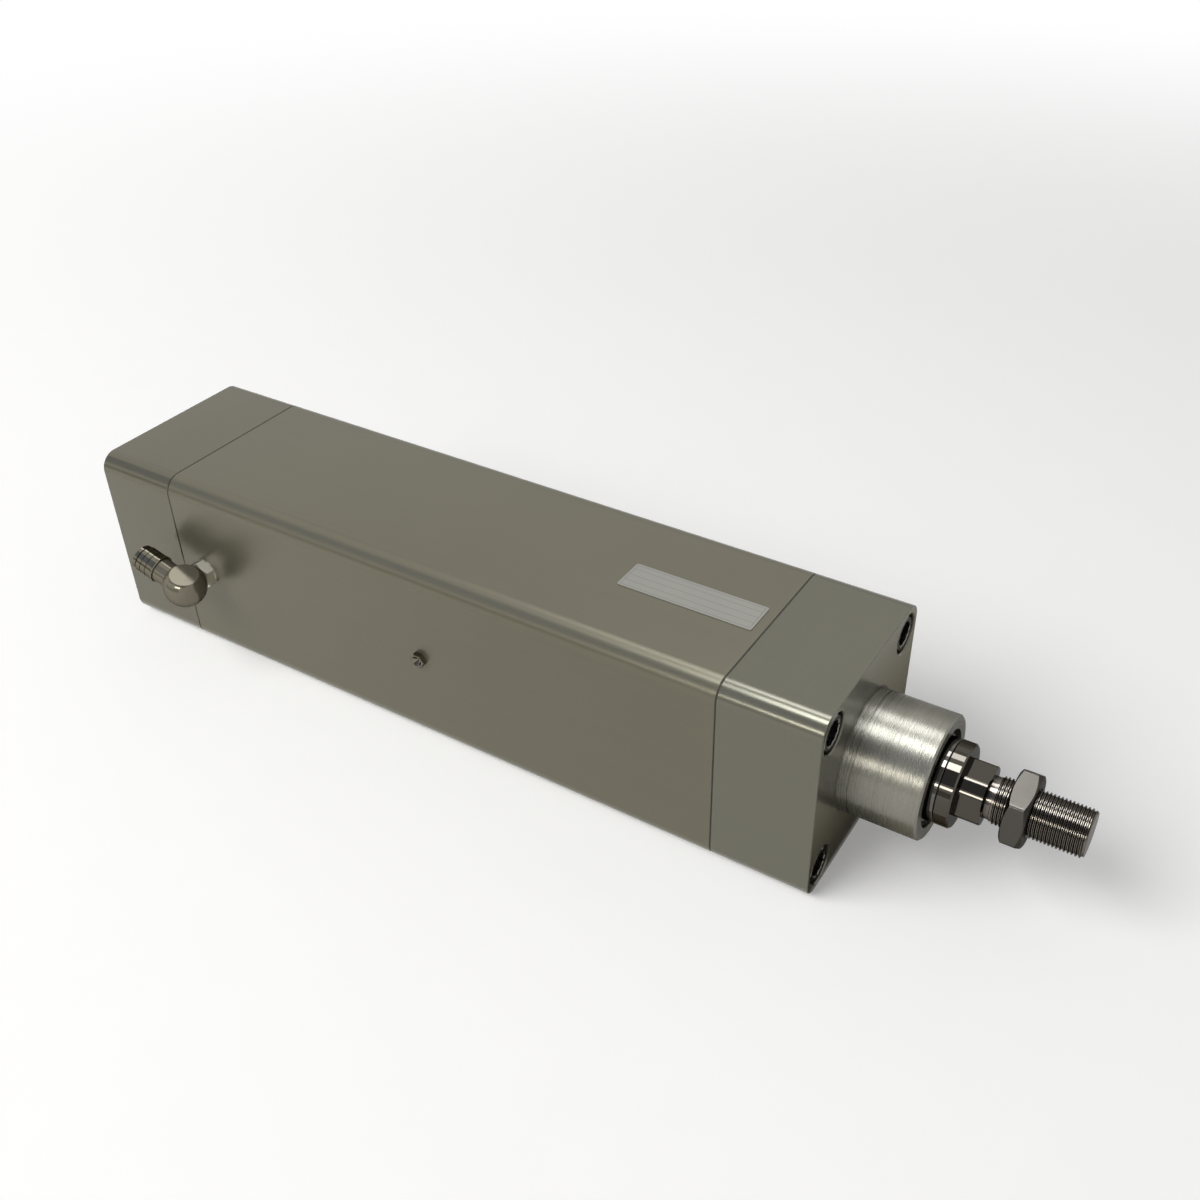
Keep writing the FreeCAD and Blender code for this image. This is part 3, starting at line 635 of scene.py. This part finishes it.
def cap_screws(name, length, face, turned_round, replaced):
    """The four screws of one cap, as one piece."""
    angles = evenly(cap_screw_steps)
    whole = bmesh.new()
    for y in (-bolt_offset, bolt_offset):
        for z in (-bolt_offset, bolt_offset):
            one = spin(angles, lambda angle: cap_screw_outline(angle, length), False)
            place = Matrix.Translation((face * mm, y * mm, z * mm))
            if turned_round:
                place = place @ Matrix.Rotation(pi, 4, "Z")
            bmesh.ops.transform(one, matrix=place, verts=one.verts)
            single = bpy.data.meshes.new(name + "_one")
            one.to_mesh(single)
            one.free()
            whole.from_mesh(single)
            bpy.data.meshes.remove(single)
    return add_piece(name, whole, screw_finish, "housing", replaced)


def ball_track_run(angle, back, front):
    """Points along the ball screw's helical track at one angle."""
    steps = ball_track_steps
    turns = ceil((front - back) / screw_lead) + 2
    start = back - 2 * screw_lead + screw_lead * angle / (2 * pi)
    width = sqrt(ball_radius ** 2 - (ball_radius - ball_track_depth) ** 2)
    points = []
    for turn in range(turns + 1):
        for k in range(steps + 1):
            across = width * (2 * k / steps - 1)
            depth = sqrt(ball_radius ** 2 - across ** 2) - (ball_radius - ball_track_depth)
            x = start + screw_lead * (turn + 0.5) + across
            inside = back < x < front
            points.append((min(max(x, back), front), screw_radius - (depth if inside else 0.0)))
    return points


def ball_screw_outline(angle):
    """Screw spindle from the drive journal to its tip."""
    low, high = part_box("ball_screw")
    journal_end = low.x / mm
    tip = high.x / mm
    bearing_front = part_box("bearing_inner_rings")[1].x / mm
    bearing_nut_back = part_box("bearing_lock_nut")[0].x / mm
    rear_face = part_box("shaft_seal")[0].x / mm
    bush_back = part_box("screw_tip_bush")[0].x / mm
    clip_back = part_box("screw_tip_clip")[0].x / mm
    clip_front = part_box("screw_tip_clip")[1].x / mm
    return [
        (journal_end, 0),
        (journal_end, journal_radius - journal_chamfer),
        (journal_end + journal_chamfer, journal_radius),
        (rear_face, journal_radius),
        (rear_face, bearing_nut_radius),
        (bearing_nut_back, bearing_nut_radius),
        (bearing_nut_back, bearing_seat_radius),
        (bearing_front, bearing_seat_radius),
        (bearing_front, screw_radius),
    ] + ball_track_run(angle, bearing_front + plain_length, bush_back) + [
        (bush_back, screw_radius),
        (bush_back, tip_radius),
        (clip_back, tip_radius),
        (clip_back, tip_groove_radius),
        (clip_front, tip_groove_radius),
        (clip_front, tip_radius),
        (tip - tip_chamfer, tip_radius),
        (tip, tip_radius - tip_chamfer),
        (tip, 0),
    ]


for node, finish in node_finishes.items():
    materials = nodes[node].data.materials
    materials.clear()
    materials.append(finish)

add_piece("rod_end_threaded", spin(shank_angles(rod_end_steps), rod_end_outline, False),
          rod_end_finish, "rod", "rod_end")
add_piece("lock_nut_threaded", spin(nut_angles(nut_steps), lock_nut_outline, True),
          nut_finish, "rod", "lock_nut")
cap_screws("front_cap_screws_splined", front_screw_length, front_screw_face, False, "front_cap_screws")
cap_screws("rear_cap_screws_splined", rear_screw_length, rear_screw_face, True, "rear_cap_screws")
add_piece("ball_screw_grooved", spin(evenly(ball_screw_steps), ball_screw_outline, False),
          hardened_finish, "screw", "ball_screw")


# Stage: pale floor, white surroundings, lamps and camera

black = rgb(0.0, 0.0, 0.0)
white = rgb(1.0, 1.0, 1.0)
world_light = rgb(0.30, 0.30, 0.30)
floor_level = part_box("barrel")[0].z
floor_reach = 12.0
floor_fade = (0.55, 1.6)
floor_dark = rgb(0.84, 0.84, 0.84)
floor_pale = rgb(0.86, 0.86, 0.86)
floor_lift = rgb(0.19, 0.19, 0.19)
speckle_scale = 40.0
flag_distance = 2.2
flag_ends = (-4.0, 0.2)
flag_front_grey = rgb(0.42, 0.42, 0.40)
flag_back_grey = rgb(0.68, 0.68, 0.66)
# Rise above the floor of the card that carries the painted shadow in front of the front face
painted_face_shadow_rise = 0.0005
panel_height = 1.30
near_tint = (0.94, 0.97, 1.0)
far_tint = (0.94, 0.96, 1.0)
strip_tint = (1.0, 0.98, 0.92)
key_tint = (1.0, 0.995, 0.98)


def white_to_sight(place, plain, bright):
    """Plain for the light on the piece, bright where it is seen straight on or in metal and glass."""
    sights = ("Is Camera Ray", "Is Glossy Ray", "Is Transmission Ray")
    camera, glossy, transmission = [place.node("LightPath", output=name) for name in sights]
    mask = place.math("MAXIMUM", place.math("MAXIMUM", camera, glossy), transmission)
    return mask.blended(plain, bright)


def make_card(name, corners, finish):
    """Flat sheet with four corners that belongs to the stage."""
    data = bpy.data.meshes.new(name)
    data.from_pydata(corners, [], [(0, 1, 2, 3)])
    data.materials.append(finish)
    card = bpy.data.objects.new(name, data)
    bpy.context.scene.collection.objects.link(card)
    return card


def level_corners(ends, sides, height):
    """Corners of a level sheet between two places along X and two along Y."""
    return [(ends[0], sides[0], height), (ends[1], sides[0], height),
            (ends[1], sides[1], height), (ends[0], sides[1], height)]


def make_floor():
    """Floor that keeps the shadow near the piece and goes over into the white round it."""
    finish, place = new_finish("pale_floor")
    x, y, _ = place.parts()
    away = ((x * x + y * y) ** 0.5).between(*floor_fade)
    speckled = place.noise(speckle_scale).blended(floor_dark, floor_pale)
    matt = place.node("BsdfDiffuse", None, {"Color": away.blended(speckled, black)})
    lift = away.blended(floor_lift, white)
    glow = place.node("Emission", None, {"Color": white_to_sight(place, black, lift)})
    both = place.node("AddShader", None, {0: matt, 1: glow})
    place.node("OutputMaterial", None, {"Surface": both})
    reach = (-floor_reach, floor_reach)
    make_card("floor", level_corners(reach, reach, floor_level), finish)


def make_world():
    """White to look at, with a dim even light on the piece."""
    world = bpy.data.worlds.new("studio")
    bpy.context.scene.world = world
    world.use_nodes = True
    world.node_tree.nodes.clear()
    start = Socket(world.node_tree)
    colour = white_to_sight(start, world_light, white)
    light = start.node("Background", None, {"Color": colour, "Strength": 1.0})
    start.node("OutputWorld", None, {"Surface": light})


def make_flag(name, corners, grey, far_grey, fade):
    """Card that only metal sees, as a studio's flags; its grey changes along X over the fade."""
    finish, place = new_finish(name)
    grey_now = place.parts()[0].between(*fade).blended(grey, far_grey)
    place.node("OutputMaterial", None, {"Surface": place.node("Emission", None, {"Color": grey_now})})
    card = make_card(name, corners, finish)
    card.visible_camera = False
    card.visible_diffuse = False
    card.visible_shadow = False


def upright_flag(name, y, foot, top, grey):
    """Flag that stands along X at one side of the piece."""
    back, front = flag_ends
    corners = [(back, y, foot), (front, y, foot), (front, y, top), (back, y, top)]
    make_flag(name, corners, grey, grey, flag_ends)


def level_flag(name, height, sides, ends, grey, far_grey, fade):
    """Level flag between two places along Y and two along X."""
    make_flag(name, level_corners(ends, sides, height), grey, far_grey, fade)


def make_lamp(name, place, target, size, radiance, tint, in_metal):
    """Rectangular lamp that points at a target; size is along X and across.

    A lamp that shows in metal gives only highlights; the others light the matt surfaces.
    """
    data = bpy.data.lights.new(name, "AREA")
    data.shape = "RECTANGLE"
    data.size, data.size_y = size
    data.energy = radiance * pi * size[0] * size[1]
    data.color = tint
    lamp = bpy.data.objects.new(name, data)
    bpy.context.scene.collection.objects.link(lamp)
    lamp.location = place
    lamp.rotation_mode = "QUATERNION"
    lamp.rotation_quaternion = (Vector(target) - Vector(place)).to_track_quat("-Z", "Y")
    lamp.visible_glossy = in_metal
    lamp.visible_diffuse = not in_metal


def make_panel(name, x, y, size, radiance, tint):
    """Lamp above the piece that faces straight down and shows in metal."""
    make_lamp(name, (x, y, panel_height), (x, y, 0.0), size, radiance, tint, True)


def make_camera():
    """Camera at the photograph's place, with its direction and lens."""
    bearing = radians(camera_bearing)
    dip = radians(camera_dip)
    forward = Vector((cos(bearing) * cos(dip), sin(bearing) * cos(dip), -sin(dip)))
    data = bpy.data.cameras.new("photo_camera")
    data.sensor_width = camera_sensor
    data.lens = camera_lens
    data.shift_x, data.shift_y = camera_shift
    data.clip_start = camera_clip
    camera = bpy.data.objects.new("photo_camera", data)
    bpy.context.scene.collection.objects.link(camera)
    camera.location = camera_place
    camera.rotation_mode = "QUATERNION"
    roll = Quaternion((0.0, 0.0, 1.0), radians(camera_roll))
    camera.rotation_quaternion = forward.to_track_quat("-Z", "Y") @ roll
    bpy.context.scene.camera = camera


make_floor()
make_world()
make_camera()
upright_flag("flag_front", -flag_distance, -0.04, 0.55, flag_front_grey)
upright_flag("flag_back", flag_distance, -0.04, 1.20, flag_back_grey)
upright_flag("flag_back_high", flag_distance, 2.40, 3.60, flag_back_grey)
level_flag("flag_above", 1.7, (-2.8, -0.45), (-4.0, 2.5),
           rgb(0.40, 0.45, 0.57), rgb(0.25, 0.26, 0.28), (-0.72, -0.58))
# Painted shadow: a card seen only in metal, dark by the front face and lighter further out, stands in for the
# floor's shadow in front of the front cap, which the front face mirrors.
level_flag("painted_face_shadow", floor_level + painted_face_shadow_rise, (-0.046, 0.60), (0.0008, 0.040),
           rgb(0.03, 0.025, 0.016), rgb(0.40, 0.37, 0.29), (0.0, 0.032))
make_lamp("lamp_key", (-1.5, -1.9, 2.2), (0.0, 0.0, 0.0), (2.4, 2.0), 6.5, key_tint, False)
make_panel("lamp_near_panel", -0.155, -0.21, (0.57, 0.43), 12.5, near_tint)
make_panel("lamp_far_panel", -0.21, 0.55, (0.68, 0.45), 7.0, far_tint)
make_panel("lamp_rear_panel", -0.72, 0.55, (0.24, 0.45), 2.2, far_tint)
make_lamp("lamp_front_strip", (-0.135, -1.15, 0.49), (-0.135, 0.0, 0.0), (0.57, 0.12), 13.5, strip_tint, True)
bpy.context.scene.view_settings.view_transform = "Standard"
